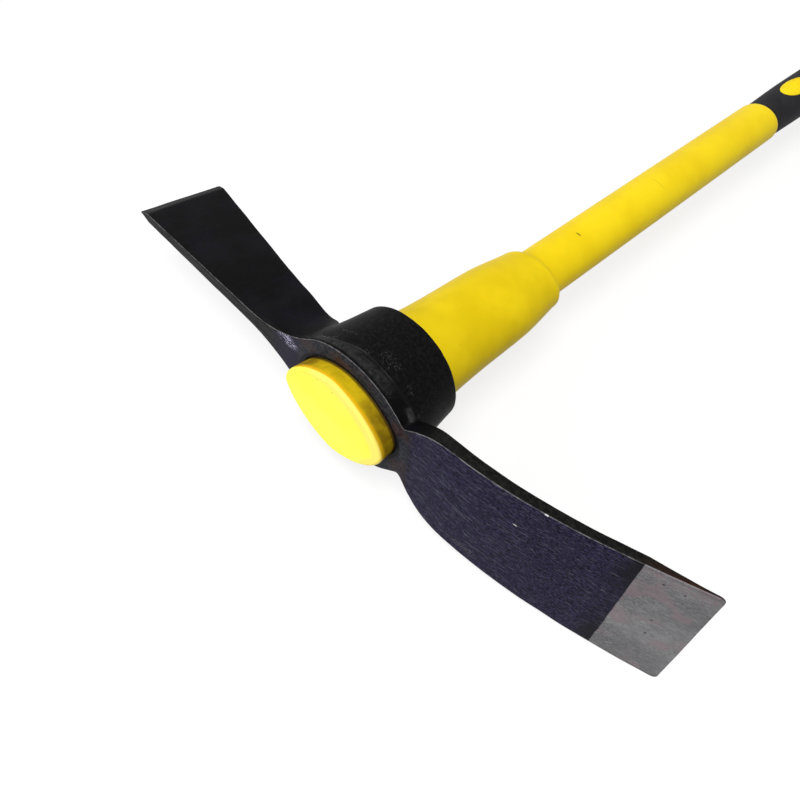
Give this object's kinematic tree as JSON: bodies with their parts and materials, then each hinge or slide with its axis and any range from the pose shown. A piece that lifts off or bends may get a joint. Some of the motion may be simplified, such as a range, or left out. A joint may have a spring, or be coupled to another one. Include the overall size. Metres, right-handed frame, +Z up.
{
  "type": "cutter mattock",
  "caption": "Cutter mattock: a black forged head with an adze and an axe on an oval yellow fibreglass-cored handle with a black rubber grip.",
  "frame": {"origin": "The centre of the handle's head-end face, the flat yellow oval that stands out of the eye.", "axes": "+Y runs along the handle's axis from the head end to the butt. +X points to the adze's cutting edge and -X to the axe's. +Z is up, square to both, with the tool lying on its side."},
  "size_m": [0.3851, 0.9, 0.0812],
  "materials": {
    "forged_steel": "satin black coat, ground bare at the adze's edge",
    "yellow_plastic": "satin",
    "fibreglass": "pultruded",
    "black_rubber": "matt"
  },
  "bodies": {
    "handle": {"handle_jacket": "yellow_plastic", "fibreglass_core": "fibreglass", "rubber_grip": "black_rubber"},
    "head": {"mattock_head": "forged_steel"}
  },
  "joints": [
    {"name": "head_slide", "type": "slide", "parent": "handle", "child": "head", "axis": [0, 1, 0], "range_m": [0, 0.889]}
  ]
}
